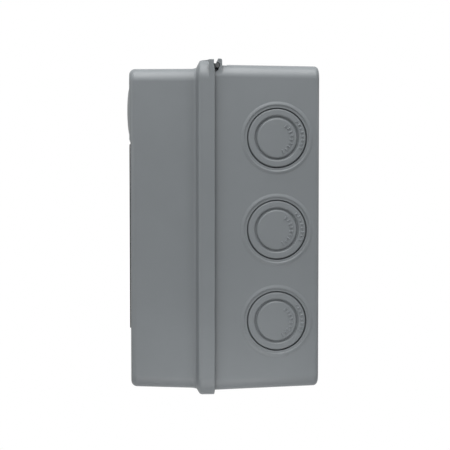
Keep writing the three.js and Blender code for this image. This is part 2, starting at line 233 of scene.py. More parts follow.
def lathe_bm(profile, segments, axis="Y"):
    """Turns (radius, height) points about an axis. A profile that doesn't start and end on
    the axis closes on itself. Height runs along +X for axis X, and towards the front for Y."""
    bm = bmesh.new()
    rings = []
    for radius, height in profile:
        count = 1 if radius < 1e-6 else segments
        ring = []
        for i in range(count):
            angle = 2 * math.pi * i / segments
            u, v = radius * math.cos(angle), radius * math.sin(angle)
            ring.append(bm.verts.new((height, u, v) if axis == "X" else (u, -height, v)))
        rings.append(ring)
    pairs = list(zip(rings, rings[1:]))
    if len(rings[0]) > 1 and len(rings[-1]) > 1:
        pairs.append((rings[-1], rings[0]))
    for ring_a, ring_b in pairs:
        for i in range(segments):
            j = (i + 1) % segments
            corners = [ring_a[i % len(ring_a)], ring_a[j % len(ring_a)],
                       ring_b[j % len(ring_b)], ring_b[i % len(ring_b)]]
            unique = list(dict.fromkeys(corners))
            if len(unique) > 2:
                bm.faces.new(unique)
    return bm


def lathe(name, profile, segments=64, axis="Y", at=(0, 0, 0), smooth_angle=32.0):
    bm = lathe_bm(profile, segments, axis)
    bmesh.ops.translate(bm, vec=at, verts=bm.verts)
    return new_object(name, bm, smooth_angle)


def rod(radius, low, high):
    """The profile of a plain round bar or bore."""
    return [(0, low), (radius, low), (radius, high), (0, high)]


def oval_ring(centre_radius, half_width, low, high, steps):
    """The profile of a soft ring that fills the space between two heights."""
    middle, half = (low + high) / 2, (high - low) / 2
    return [(centre_radius + half_width * math.cos(t), middle + half * math.sin(t))
            for t in [2 * math.pi * i / steps for i in range(steps)]]


def extruded_x(name, points, low, high, bevel=0.0):
    """A closed outline of (depth, z) points pushed along X, with its edges rounded."""
    bm = bmesh.new()
    ends = []
    for x in (low, high):
        ends.append([bm.verts.new((x, -depth, z)) for depth, z in points])
    for end in ends:
        bm.faces.new(end)
    count = len(points)
    for i in range(count):
        j = (i + 1) % count
        bm.faces.new([ends[0][i], ends[0][j], ends[1][j], ends[1][i]])
    bmesh.ops.recalc_face_normals(bm, faces=bm.faces)
    if bevel:
        bmesh.ops.bevel(bm, geom=bm.edges[:], offset=bevel, segments=3, profile=0.5,
                        affect="EDGES", clamp_overlap=True)
    return new_object(name, bm)


def cuboid(name, low, high, bevel=0.0):
    points = [(-low[1], low[2]), (-low[1], high[2]), (-high[1], high[2]), (-high[1], low[2])]
    return extruded_x(name, points, low[0], high[0], bevel)


def mirrored_span(span, side):
    low, high = span
    return (low, high) if side > 0 else (-high, -low)


# ---------------------------------------------------------------- shells swept round a rectangle


def drafted(outline, draft, length):
    """The outline narrowed by its mould draft over a length."""
    shrink = {key: length * math.tan(math.radians(value)) for key, value in draft.items()}
    return {"half": outline["half"] - shrink["side"], "top": outline["top"] - shrink["top"],
            "bottom": outline["bottom"] + shrink["bottom"], "radius": outline["radius"]}


def box_outline(depth):
    return drafted(BOX, BOX_DRAFT, max(LIP_REAR - depth, 0.0))


def skirt_outline(depth):
    return drafted(SKIRT, SKIRT_DRAFT, max(depth - SKIRT_START, 0.0))


def blended(outline_a, outline_b, share):
    return {key: outline_a[key] * (1 - share) + outline_b[key] * share for key in outline_a}


def ring_points(outline, inset, depth, corner_steps):
    """A round-cornered rectangle, moved in by an inset, at one depth, or at one depth on the
    sides and another along the top and bottom."""
    side_depth, end_depth = depth if isinstance(depth, tuple) else (depth, depth)
    half = outline["half"] - inset
    top = outline["top"] - inset
    bottom = outline["bottom"] + inset
    radius = max(outline["radius"] - inset, 0.6)
    corners = [(half - radius, top - radius, 0), (-half + radius, top - radius, 90),
               (-half + radius, bottom + radius, 180), (half - radius, bottom + radius, 270)]
    points = []
    for x, z, start in corners:
        for px, pz in arc((x, z), radius, start, start + 90, corner_steps):
            share = ((pz - z) / radius) ** 2
            points.append((px, -side_depth - (end_depth - side_depth) * share, pz))
    return points


def swept_shell(name, stations, corner_steps=14, closed=False):
    """Joins the rings of successive stations (outline, inset, depth). Both end rings are
    capped, unless the last ring joins the first."""
    bm = bmesh.new()
    rings = []
    for outline, inset, depth in stations:
        rings.append([bm.verts.new(p) for p in ring_points(outline, inset, depth, corner_steps)])
    pairs = list(zip(rings, rings[1:]))
    if closed:
        pairs.append((rings[-1], rings[0]))
    for ring_a, ring_b in pairs:
        count = len(ring_a)
        for i in range(count):
            j = (i + 1) % count
            bm.faces.new([ring_a[i], ring_a[j], ring_b[j], ring_b[i]])
    if not closed:
        bm.faces.new(rings[0])
        bm.faces.new(rings[-1])
    return new_object(name, bm)


# ---------------------------------------------------------------- materials


def node(tree, kind, **values):
    made = tree.nodes.new(kind)
    for key, value in values.items():
        if hasattr(made, key):
            setattr(made, key, value)
        else:
            made.inputs[key].default_value = value
    return made


def link(tree, source, output, target, socket):
    tree.links.new(source.outputs[output], target.inputs[socket])


def noise(tree, coords, scale, detail):
    made = tree.nodes.new("ShaderNodeTexNoise")
    made.inputs["Scale"].default_value = scale
    made.inputs["Detail"].default_value = detail
    made.inputs["Roughness"].default_value = 0.55
    link(tree, coords, "Object", made, "Vector")
    return made


def remap(tree, source, output, from_low, from_high, to_low, to_high):
    made = tree.nodes.new("ShaderNodeMapRange")
    for key, value in (("From Min", from_low), ("From Max", from_high),
                       ("To Min", to_low), ("To Max", to_high)):
        made.inputs[key].default_value = value
    link(tree, source, output, made, "Value")
    return made


def colour_mix(tree, factor, factor_output, colour_a, colour_b):
    made = tree.nodes.new("ShaderNodeMix")
    made.data_type = "RGBA"
    made.inputs["A"].default_value = (*colour_a, 1)
    made.inputs["B"].default_value = (*colour_b, 1)
    link(tree, factor, factor_output, made, "Factor")
    return made


def scaled(colour, factor):
    return tuple(min(channel * factor, 1.0) for channel in colour)


def painted_edge_highlight(tree, tint, rounded, colour):
    """The tint, turning to a lighter colour where the rounded normal leaves the true one: a
    painted highlight along edges.
    """
    geometry = tree.nodes.new("ShaderNodeNewGeometry")
    turn = node(tree, "ShaderNodeVectorMath", operation="DOT_PRODUCT")
    link(tree, rounded, "Normal", turn, 0)
    link(tree, geometry, "Normal", turn, 1)
    # painted highlight mask: 0 on flat faces, 1 where the bevel normal turns away from the true
    # one
    edge_highlight_mask = remap(tree, turn, "Value", 0.995, 0.8, 0.0, 1.0)
    edge = tree.nodes.new("ShaderNodeMix")
    edge.data_type = "RGBA"
    edge.inputs["B"].default_value = (*colour, 1)
    link(tree, edge_highlight_mask, "Result", edge, "Factor")
    link(tree, tint, "Result", edge, "A")
    return edge


def painted_crease_shade(tree, source, crease_shade):
    """The source colour with painted shade: darker where other surfaces are within a few
    millimetres.
    """
    # painted shade: ambient occlusion within 7 mm darkens the colour, as shade falls in creases
    # and beside steps
    shade_in = tree.nodes.new("ShaderNodeAmbientOcclusion")
    shade_in.samples = 8
    shade_in.inputs["Distance"].default_value = 7 * MM
    depth_of_shade = remap(tree, shade_in, "AO", 0.45, 0.97, crease_shade, 1.0)
    darkened = node(tree, "ShaderNodeVectorMath", operation="SCALE")
    link(tree, source, "Result", darkened, 0)
    link(tree, depth_of_shade, "Result", darkened, "Scale")
    return darkened


def surface(name, colour, roughness, metallic=0.0, mottle=0.06, mottle_scale=90.0,
            grain=0.02, grain_scale=2600.0, rough_spread=0.06, edge_radius=0.0,
            edge_light=1.0, specular=0.5, crease_shade=1.0, round_normals=True):
    """A procedural moulded, cast or plated surface: cloudy colour, fine grain in the bump,
    uneven roughness, painted highlights along edges where edge_radius (mm) is set, which
    round_normals also rounds, and painted shade in creases, darkened down to the crease_shade
    factor."""
    made = bpy.data.materials.new(name)
    made.use_nodes = True
    tree = made.node_tree
    shader = tree.nodes["Principled BSDF"]
    shader.inputs["Metallic"].default_value = metallic
    shader.inputs["Specular IOR Level"].default_value = specular
    coords = tree.nodes.new("ShaderNodeTexCoord")

    clouds = noise(tree, coords, mottle_scale, 4.0)
    spread = remap(tree, clouds, "Fac", 0.3, 0.7, 0.0, 1.0)
    dark, light = scaled(colour, 1 - mottle), scaled(colour, 1 + mottle)
    tint = colour_mix(tree, spread, "Result", dark, light)

    fine = noise(tree, coords, grain_scale, 2.0)
    bump = node(tree, "ShaderNodeBump", Strength=min(grain * 10, 1.0), Distance=grain * MM)
    link(tree, fine, "Fac", bump, "Height")

    # painted highlight: edges within edge_radius take a colour lighter by edge_light
    if edge_radius:
        rounded = tree.nodes.new("ShaderNodeBevel")
        rounded.samples = 6
        rounded.inputs["Radius"].default_value = edge_radius * MM
        if round_normals:
            link(tree, rounded, "Normal", bump, "Normal")
        tint = painted_edge_highlight(tree, tint, rounded, scaled(colour, edge_light))

    # painted shade: the base colour is darkened in creases
    if crease_shade < 1.0:
        link(tree, painted_crease_shade(tree, tint, crease_shade), "Vector", shader, "Base Color")
    else:
        link(tree, tint, "Result", shader, "Base Color")
    link(tree, bump, "Normal", shader, "Normal")
    smears = noise(tree, coords, mottle_scale * 0.6, 3.0)
    dull = remap(tree, smears, "Fac", 0.3, 0.7, roughness - rough_spread, roughness + rough_spread)
    link(tree, dull, "Result", shader, "Roughness")
    return made


GREY = (0.158, 0.172, 0.181)
# edge_light paints highlights along edges; crease_shade paints shade into creases, deeper on the
# housing than on the knockouts
housing = surface("moulded_grey", GREY, 0.47, mottle=0.025, mottle_scale=45, grain=0.03,
                  grain_scale=2200, edge_radius=0.45, edge_light=1.5, specular=0.45,
                  crease_shade=0.54, round_normals=False)
knockout_grey = surface("knockout_grey", GREY, 0.47, mottle=0.025, mottle_scale=45, grain=0.03,
                        grain_scale=2200, edge_radius=0.3, edge_light=1.5, specular=0.45,
                        crease_shade=0.85, round_normals=False)
label_black = surface("label_black", (0.010, 0.010, 0.011), 0.55, mottle=0.15, grain=0.02,
                      grain_scale=3500, specular=0.12)
nylon_black = surface("nylon_black", (0.020, 0.020, 0.022), 0.5, mottle=0.12, edge_radius=0.2,
                      edge_light=1.6)
seal_rubber = surface("seal_rubber", (0.016, 0.016, 0.017), 0.78, mottle=0.2, grain=0.06,
                      grain_scale=1500, specular=0.3)
zinc = surface("zinc_plate", (0.60, 0.62, 0.64), 0.33, metallic=1.0, mottle=0.07,
               mottle_scale=160, grain=0.02, grain_scale=1800, rough_spread=0.1)
brass = surface("turned_brass", (0.72, 0.50, 0.19), 0.28, metallic=1.0, mottle=0.06,
                mottle_scale=200, grain=0.02)
terminal_grey = surface("terminal_grey", (0.40, 0.41, 0.39), 0.48, mottle=0.03,
                        mottle_scale=80, grain=0.025, grain_scale=2600)
earth_green = surface("earth_green", (0.10, 0.30, 0.05), 0.46, mottle=0.05, mottle_scale=80,
                      grain=0.025)
# painted shade: a dark steel for the hinge pins, whose heads stand in for the shade on the hinge
# ears
steel_with_painted_shade = surface("steel_with_painted_shade", (0.075, 0.078, 0.081), 0.5, metallic=0.5, mottle=0.1,
                     mottle_scale=160, grain=0.02, grain_scale=1800)


def place(obj, material, body, cad_node):
    """Gives a piece its material and its body, and hides the CAD node it stands for."""
    obj.data.transform(Matrix.Scale(MM, 4))
    obj.data.materials.clear()
    obj.data.materials.append(material)
    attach(obj, body)
    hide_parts(cad_node)


# ---------------------------------------------------------------- back box


def build_back_shell():
    """The moulded tray: floor, walls, sealing tongue and rounded back edge."""
    stations = []
    inner = WALL + INSIDE_FILLET
    for inset, depth in arc((inner, inner), INSIDE_FILLET, 270, 180, 5):
        stations.append((box_outline(depth), inset, depth))
    edge = 0.4
    tongue_outer = WALL - TONGUE_WALL
    stations.append((BOX, WALL, LIP_REAR))
    for inset, depth in arc((WALL - edge, TONGUE_FRONT - edge), edge, 0, 90, 3):
        stations.append((BOX, inset, depth))
    for inset, depth in arc((tongue_outer + edge, TONGUE_FRONT - edge), edge, 90, 180, 3):
        stations.append((BOX, inset, depth))
    stations.append((BOX, tongue_outer, SEAL_PLANE))
    for inset, depth in arc((0.3, SEAL_PLANE - 0.3), 0.3, 90, 180, 3):
        stations.append((BOX, inset, depth))
    stations.append((BOX, 0.0, LIP_REAR))
    for inset, depth in arc((BACK_FILLET, BACK_FILLET), BACK_FILLET, 180, 270, 7):
        stations.append((box_outline(depth), inset, depth))
    return swept_shell("back_box_shell", stations)


def ear_points():
    """A hinge ear from the side, with a raised lip along its rear."""
    return [(EAR_FRONT, EAR_FOOT), (EAR_FRONT, 86.15), (53.9, 86.15), (53.0, 88.4),
            (52.6, EAR_TOP), (51.6, EAR_TOP), (51.0, EAR_TOP - 0.5), (EAR_REAR, EAR_TOP - 1.2),
            (EAR_REAR, EAR_FOOT)]


def mouth_points():
    """The opening that turns an ear into a hook."""
    return [(54.95, 80.9), (54.5, 81.5), (53.4, 81.9), (52.8, 82.6), (52.4, 83.8),
            (52.35, 84.4), (52.35, 85.8), (52.55, 86.05), (53.9, 86.2), (54.95, 86.4)]


BEAD = ((BEAD_INNER, -1.2), (16.0, -1.15), (16.25, -0.9), (16.5, -0.5), (16.8, -0.1),
        (17.1, 0.25), (17.3, 0.38), (17.6, 0.42), (18.0, 0.34), (18.5, 0.18), (18.9, 0.04),
        (19.2, -0.06))


def bead_profile():
    """The raised bead round each knockout, from the groove's floor out to the wall."""
    plane = BOX["half"]
    surface_points = [(radius, plane + proud) for radius, proud in BEAD]
    base = plane - BEAD_BASE
    return [(BEAD_INNER, base)] + surface_points + [(BEAD[-1][0], base)]


def knockout_places():
    """The name, side, y and z of each knockout."""
    places = []
    for side_name, side in SIDES.items():
        for row in KNOCKOUT_ROWS:
            name = f"{side_name}_{row}"
            centre = cad_centre(f"knockout_disc_{name}")
            places.append((name, side, centre.y, centre.z))
    return places


def turned_to_side(obj, side, y, z):
    """Moves a piece made about the X axis to its place on the left or right wall."""
    obj.data.transform(Matrix.Translation((0, y, z))
                       @ Matrix.Rotation(0 if side > 0 else math.pi, 4, "Z"))


def hinge_tools(side):
    """One hinge's ears, the pocket between them, and the hooks and pin seat cut last."""
    low, high = mirrored_span(EAR_PAD["span"], side)
    added = [cuboid("pad", (low, -POCKET_FRONT - 2, EAR_PAD["bottom"]),
                    (high, -POCKET_REAR + 3, EAR_PAD["top"]))]
    cut_last = []
    for ear in (OUTER_EAR, INNER_EAR):
        low, high = mirrored_span(ear, side)
        added.append(extruded_x("ear", ear_points(), low, high, bevel=0.4))
        cut_last.append(extruded_x("hook_mouth", mouth_points(), low - 0.1, high + 0.1))
    low, high = mirrored_span((PIN_HEAD["inner"] - 0.05, OUTER_EAR[1] + 1), side)
    cut_last.append(lathe("pin_head_seat", rod(PIN_HEAD["radius"] + 0.15, low, high), 32,
                          axis="X", at=HINGE_AXIS))
    low, high = mirrored_span((LUG[0] - 0.6, LUG[1] + 0.6), side)
    pocket = cuboid("pocket", (low, -POCKET_FRONT, POCKET_FLOOR),
                    (high, -POCKET_REAR, ABOVE_BOX), bevel=0.3)
    return added, [pocket], cut_last


def screw_post_tools(side):
    """A corner post with the bore for its brass insert."""
    at = (SCREW_X * side, 0, SCREW_Z)
    post = [(0, 1.5), (POST_RADIUS + 0.8, 1.5), (POST_RADIUS + 0.8, 2.6),
            (POST_RADIUS + 0.2, 3.2), (POST_RADIUS, 4.2), (POST_RADIUS, POST_FRONT - 0.4),
            (POST_RADIUS - 0.4, POST_FRONT), (0, POST_FRONT)]
    seat_depth = POST_FRONT - INSERT_LENGTH - 0.3
    seat_radius = INSERT_RADIUS + 0.05
    bore = [(0, 40), (INSERT_BORE_RADIUS, 40), (INSERT_BORE_RADIUS, seat_depth),
            (seat_radius, seat_depth), (seat_radius, POST_FRONT + 1), (0, POST_FRONT + 1)]
    return [lathe("post", post, 48, at=at)], [], [lathe("insert_bore", bore, 48, at=at)]


def floor_tools(side):
    """The posts for the mounting plate, the wall holes, and the posts' pilot holes."""
    r, top = PLATE_POST_RADIUS, PLATE_REAR - 0.3
    post = [(0, 1.5), (r + 0.8, 1.5), (r + 0.8, 2.6), (r + 0.2, 3.2), (r, 4.2), (r, top - 0.4),
            (r - 0.4, top), (0, top)]
    r, flare = WALL_HOLE_RADIUS, WALL_HOLE_RADIUS + 0.45
    hole = [(0, -1), (flare, -1), (flare, 0.0), (r, 0.45), (r, 2.1), (flare, 2.6), (flare, 5),
            (0, 5)]
    posts, holes, pilots = [], [], []
    for end in (-1, 1):
        at = (PLATE_HOLE_X * side, 0, PLATE_HOLE_Z * end)
        posts.append(lathe("plate_post", post, 40, at=at))
        pilots.append(lathe("pilot", rod(PILOT_RADIUS, 3.5, 12), 24, at=at))
        at = (WALL_HOLE_X * side, 0, WALL_HOLE_Z * end)
        holes.append(lathe("wall_hole", hole, 40, at=at))
    return posts, holes, pilots


def knockout_tools():
    """The beads round the knockouts, and the holes that they line."""
    beads, holes = [], []
    for _, side, y, z in knockout_places():
        beads.append(lathe("bead", bead_profile(), 128, axis="X"))
        holes.append(lathe("hole", rod(BEAD_INNER + 0.06, 50, 70), 128, axis="X"))
        turned_to_side(beads[-1], side, y, z)
        turned_to_side(holes[-1], side, y, z)
    return beads, holes


def build_back_box():
    shell = build_back_shell()
    added, removed, cut_last = [], [], []
    for side in SIDES.values():
        for tools in (hinge_tools, screw_post_tools, floor_tools):
            more_added, more_removed, more_cut_last = tools(side)
            added += more_added
            removed += more_removed
            cut_last += more_cut_last
    beads, holes = knockout_tools()
    boolean(shell, added, "UNION")
    for tools in (removed, cut_last, holes):
        boolean(shell, tools, "DIFFERENCE")
    boolean(shell, beads, "UNION")
    finish_boolean(shell)
    place(shell, housing, "base", "back_box")


# ---------------------------------------------------------------- knockouts

RING_TICKS = range(-23, 42, 9)
DISC_TICKS = range(-66, 67, 15)
TICK_WIDTH = 0.95
TICK_HEIGHT = 0.4


def tick(angle, inner, outer):
    """A small raised radial bar with sloping sides on a knockout's face."""
    bm = bmesh.new()
    rings = []
    base = KNOCKOUT_FACE
    for height, spread in ((base - 0.3, 0.0), (base, 0.0), (base + TICK_HEIGHT, 0.28)):
        half = TICK_WIDTH / 2 - spread
        low, high = inner + spread, outer - spread
        rings.append([bm.verts.new((height, u, v)) for u, v in
                      ((low, -half), (high, -half), (high, half), (low, half))])
    for ring_a, ring_b in zip(rings, rings[1:]):
        for i in range(4):
            j = (i + 1) % 4
            bm.faces.new([ring_a[i], ring_a[j], ring_b[j], ring_b[i]])
    bm.faces.new(rings[0])
    bm.faces.new(rings[-1])
    bmesh.ops.rotate(bm, cent=(0, 0, 0), matrix=Matrix.Rotation(math.radians(angle), 3, "X"),
                     verts=bm.verts)
    return new_object("tick", bm)


def disc_profile():
    top = KNOCKOUT_FACE
    rear = top - KNOCKOUT_THICKNESS
    return [(0, rear), (10.9, rear), (10.9, top - 1.12), (10.78, top - 1.06),
            (10.6, top - 0.82), (10.4, top - 0.52), (10.15, top - 0.22), (9.9, top - 0.06),
            (9.6, top), (0, top)]


def ring_profile():
    top = KNOCKOUT_FACE
    rear = top - KNOCKOUT_THICKNESS
    return [(15.7, rear), (15.7, top - 1.58), (15.6, top - 1.5), (15.42, top - 1.18),
            (15.2, top - 0.72), (14.98, top - 0.32), (14.75, top - 0.08), (14.5, top),
            (12.25, top), (12.05, top - 0.06), (11.82, top - 0.24), (11.55, top - 0.56),
            (11.28, top - 0.9), (11.05, top - 1.1), (10.92, top - 1.14), (10.92, rear)]


def build_knockouts():
    for name, side, y, z in knockout_places():
        disc = lathe(f"knockout_{name}_disc", disc_profile(), 128, axis="X")
        boolean(disc, [tick(angle, 7.0 if angle % 2 else 6.5, 8.7) for angle in DISC_TICKS],
                "UNION")
        ring = lathe(f"knockout_{name}_ring", ring_profile(), 128, axis="X")
        boolean(ring, [tick(angle, 12.5, 14.3 if angle % 2 else 13.9) for angle in RING_TICKS],
                "UNION")
        for piece, cad_node in ((disc, f"knockout_disc_{name}"), (ring, f"knockout_ring_{name}")):
            turned_to_side(piece, side, y, z)
            finish_boolean(piece)
            place(piece, knockout_grey, "base", cad_node)


# ---------------------------------------------------------------- cover


def lug_points():
    """A hinge lug from the side: a strap over the rim with a web down to the barrel."""
    tail = STRAP_TAIL
    return [(COVER_REAR + 2.0, STRAP_Z), (tail, STRAP_Z), (tail - 0.25, 85.8),
            (HINGE_DEPTH + 1.35, HINGE_Z), (HINGE_DEPTH - 1.35, HINGE_Z),
            (HINGE_DEPTH - 0.6, HINGE_Z + 1.25), (tail, HINGE_Z + 1.5), (tail, EAR_TOP - 0.35),
            (tail + 0.35, EAR_TOP), (57.8, EAR_TOP), (58.5, 88.12), (COVER_REAR + 2.0, 87.9)]


def build_cover_shell():
    """The moulded cover: front wall, skirt, gasket channel, flange and its sloped shoulder."""
    stations = []
    inner = WALL + INSIDE_FILLET
    for inset, depth in arc((inner, COVER_FRONT - inner), INSIDE_FILLET, 90, 180, 5):
        stations.append((skirt_outline(depth), inset, depth))
    stations.append((skirt_outline(CHANNEL_DEPTH), WALL, CHANNEL_DEPTH))
    channel = WALL - TONGUE_WALL - CHANNEL_CLEARANCE
    stations.append((BOX, channel, CHANNEL_DEPTH))
    stations.append((BOX, channel, COVER_REAR + 0.3))
    stations.append((BOX, channel - 0.3, COVER_REAR))
    stations.append((BOX, -LIP_GAP, COVER_REAR))
    stations.append((BOX, -LIP_GAP, LIP_REAR + 0.3))
    stations.append((BOX, -LIP_GAP - 0.25, LIP_REAR))
    for inset, depth in arc((0.6, LIP_REAR + 0.6), 0.6, 270, 180, 5):
        stations.append((RIM, inset, depth))
    shoulder_steps = 4
    for i in range(shoulder_steps + 1):
        share = i / shoulder_steps
        back = 1.2 * (1 - share)
        stations.append((RIM, 0.3 * share ** 2, (SLANT_SIDE - back, SLANT_TOP - back)))
    for share in (0.12, 0.88):
        depths = (SLANT_SIDE + (SKIRT_SIDE - SLANT_SIDE) * share,
                  SLANT_TOP + (SKIRT_TOP - SLANT_TOP) * share)
        stations.append((blended(RIM, SKIRT, share), 0.0, depths))
    for i in range(1, 5):
        depth = SKIRT_START + 0.35 * i
        stations.append((skirt_outline(depth), -0.28 * (1 - i / 4) ** 2, depth))
    for inset, depth in arc((FRONT_FILLET, COVER_FRONT - FRONT_FILLET), FRONT_FILLET, 180, 90, 10):
        stations.append((skirt_outline(depth), inset, depth))
    shell = swept_shell("front_cover_shell", stations)
    sink_front(shell)
    return shell


def sink_front(shell):
    """Sets the front face below the control plug back a little, over a short slope."""
    bm = bmesh.new()
    bm.from_mesh(shell.data)
    for level in (STEP_TOP, STEP_BOTTOM):
        bmesh.ops.bisect_plane(bm, geom=bm.verts[:] + bm.edges[:] + bm.faces[:],
                               plane_co=(0, 0, level), plane_no=(0, 0, 1))
    for vert in bm.verts:
        share = min(max((STEP_TOP - vert.co.z) / (STEP_TOP - STEP_BOTTOM), 0.0), 1.0)
        near_front = min(max((-vert.co.y - 90.0) / 5.0, 0.0), 1.0)
        vert.co.y += FRONT_STEP * share * near_front
    bm.to_mesh(shell.data)
    bm.free()
    shade(shell.data, 32.0)


def hinge_notch(side):
    """The gap in the rim that the box's ears reach through."""
    low, high = mirrored_span(NOTCH, side)
    return cuboid("hinge_notch", (low, -TAB["front"] + 0.05, NOTCH_FLOOR),
                  (high, -LIP_REAR + 1, ABOVE_BOX))


def cover_hinge_tools(side):
    """One hinge lug with its barrel, the tab at the rim's corner, and the pin's bore."""
    low, high = mirrored_span(LUG, side)
    r = BARREL_RADIUS
    barrel = [(0, low), (r - 0.2, low), (r, low + 0.2), (r, high - 0.2), (r - 0.2, high),
              (0, high)]
    tab_low, tab_high = mirrored_span((TAB["inner"], RIM["half"] - 0.02), side)
    added = [extruded_x("lug", lug_points(), low, high, bevel=0.25),
             cuboid("corner_tab", (tab_low, -TAB["front"], TAB["bottom"]),
                    (tab_high, -TAB["rear"], TAB["top"]), bevel=0.22),
             lathe("barrel", barrel, 32, axis="X", at=HINGE_AXIS)]
    bore = rod(PIN_RADIUS + 0.05, low - 1, high + 1)
    return added, [lathe("pin_bore", bore, 24, axis="X", at=HINGE_AXIS)]


def screw_well_tools(side):
    """The column behind a corner screw's well, the well with its round mouth, and the hole."""
    at = (SCREW_X * side, 0, SCREW_Z)
    rear, front = SEAT_DEPTH - SEAT_FLOOR, COVER_FRONT - 1
    column = [(0, rear), (COLUMN_RADIUS - 0.4, rear), (COLUMN_RADIUS, rear + 0.4),
              (COLUMN_RADIUS, front), (0, front)]
    face = COVER_FRONT - FRONT_STEP
    mouth = [(WELL_RADIUS + dr, face - dd) for dr, dd in
             ((0.0, 0.7), (0.06, 0.4), (0.2, 0.2), (0.4, 0.06), (0.75, -0.02))]
    well = ([(0, SEAT_DEPTH), (WELL_RADIUS, SEAT_DEPTH)] + mouth
            + [(WELL_RADIUS + 0.7, COVER_FRONT + 1), (0, COVER_FRONT + 1)])
    hole = rod(SCREW_HOLE_RADIUS, 60, SEAT_DEPTH + 1)
    removed = [lathe("well", well, 56, at=at), lathe("screw_hole", hole, 32, at=at)]
    return [lathe("column", column, 56, at=at)], removed


def build_cover():
    shell = build_cover_shell()
    boolean(shell, [hinge_notch(side) for side in SIDES.values()], "DIFFERENCE")
    added = []
    removed = [lathe("plug_hole", rod(PLUG_HOLE_RADIUS, 90, 105), 64, at=(0, 0, PLUG_Z))]
    for side in SIDES.values():
        for tools in (cover_hinge_tools, screw_well_tools):
            more_added, more_removed = tools(side)
            added += more_added
            removed += more_removed
    boolean(shell, added, "UNION")
    boolean(shell, removed, "DIFFERENCE")
    finish_boolean(shell)
    place(shell, housing, "cover", "front_cover")


def build_gasket():
    """A foamed seal that lies in the cover's channel, crowned towards the tongue."""
    low, high = cad_depths("cover_gasket")
    outer = WALL - TONGUE_WALL - CHANNEL_CLEARANCE + 0.3
    inner_wall = skirt_outline(high)
    width = (BOX["half"] - outer) - (inner_wall["half"] - WALL + 0.4)
    stations = [(BOX, outer, high), (BOX, outer, low + 0.5)]
    for inset, depth in arc((outer + width / 2, low + 0.5), width / 2, 180, 360, 10):
        stations.append((BOX, inset, low + 0.5 + (depth - low - 0.5) * 0.35))
    stations.append((BOX, outer + width, high))
    gasket = swept_shell("gasket_strip", stations, closed=True)
    place(gasket, seal_rubber, "cover", "cover_gasket")


def build_label():
    """A blank plate on the front face with a soft edge and a fine sunk border line."""
    low, high = cad_low("label_plate"), cad_high("label_plate")
    outline = {"half": high.x, "top": high.z, "bottom": low.z, "radius": 3.0}
    rear = COVER_FRONT - FRONT_STEP + 0.02
    front = rear + LABEL_THICKNESS
    stations = [(outline, 0, rear), (outline, 0, front - 0.12), (outline, 0.04, front - 0.04),
                (outline, 0.12, front), (outline, 2.2, front), (outline, 2.35, front - 0.12),
                (outline, 2.75, front - 0.12), (outline, 2.9, front)]
    plate = swept_shell("label_blank", stations)
    even_normals(plate)
    place(plate, label_black, "cover", "label_plate")


def build_plug():
    """The domed blanking plug in the control hole, with its nut and seal behind the wall."""
    at = (0, 0, PLUG_Z)
    low = cad_low("blanking_plug")
    crown = -low.y
    radius = cad_high("blanking_plug").x
    rear = COVER_FRONT + 0.3
    dome = [(radius * math.sin(t), rear + 0.35 + (crown - rear - 0.35) * math.cos(t))
            for t in [math.radians(90 * i / 14) for i in range(15)]]
    neck, bore, end = 11.0, 9.0, COVER_FRONT - 9.0
    profile = (dome + [(radius, rear + 0.12), (radius - 0.15, rear), (neck, rear),
                       (neck, end + 0.3), (neck - 0.3, end), (bore + 0.2, end),
                       (bore, end + 0.2), (bore, rear - 0.9), (0, rear - 0.9)])
    plug = lathe("control_hole_plug", profile, 96, at=at)
    even_normals(plug)
    place(plug, housing, "cover", "blanking_plug")
    build_plug_nut(at)
    seal = lathe("plug_seal_ring", oval_ring(12.4, 1.15, *cad_depths("plug_seal"), 16), 96,
                 at=at, smooth_angle=80)
    place(seal, seal_rubber, "cover", "plug_seal")


def build_plug_nut(at):
    """The plug's ring nut, with flutes round its edge."""
    low, high = cad_depths("plug_nut")
    bore, rim = PLUG_HOLE_RADIUS, 14.4
    nut = lathe("plug_ring_nut", [(bore, low), (rim - 0.5, low), (rim, low + 0.5),
                                  (rim, high - 0.5), (rim - 0.5, high), (bore, high)], 96, at=at)
    flutes = []
    for i in range(NUT_FLUTES):
        angle = 2 * math.pi * i / NUT_FLUTES
        spot = (15.0 * math.cos(angle), 0, PLUG_Z + 15.0 * math.sin(angle))
        flutes.append(lathe("flute", rod(1.5, low - 1, high + 1), 20, at=spot))
    boolean(nut, flutes, "DIFFERENCE")
    finish_boolean(nut)
    place(nut, nylon_black, "cover", "plug_nut")


# ---------------------------------------------------------------- screws and pins


def cross_recess(x, z, half, width, front, depth):
    """A tapering four-armed driver recess, as two crossed wedges."""
    wedges = []
    for turned in (False, True):
        bm = bmesh.new()
        rings = []
        for level, longer, wider in ((front + 0.5, 1.15, 1.25), (front - depth, 0.35, 0.55)):
            along, across = half * longer, width / 2 * wider
            u, v = (across, along) if turned else (along, across)
            rings.append([bm.verts.new((x + a, -level, z + b)) for a, b in
                          ((-u, -v), (u, -v), (u, v), (-u, v))])
        for i in range(4):
            j = (i + 1) % 4
            bm.faces.new([rings[0][i], rings[0][j], rings[1][j], rings[1][i]])
        bm.faces.new(rings[0])
        bm.faces.new(rings[1])
        wedges.append(new_object("wedge", bm))
    return wedges


def threaded_profile(radius, root, start, end, pitch):
    """Thread rings as a saw-tooth profile between two depths, as seen from the side."""
    points = []
    count = max(int((end - start) / pitch), 1)
    for i in range(count):
        base = start + i * pitch
        points += [(root, base), (root, base + pitch * 0.45), (radius, base + pitch * 0.68),
                   (radius, base + pitch * 0.78)]
    return points


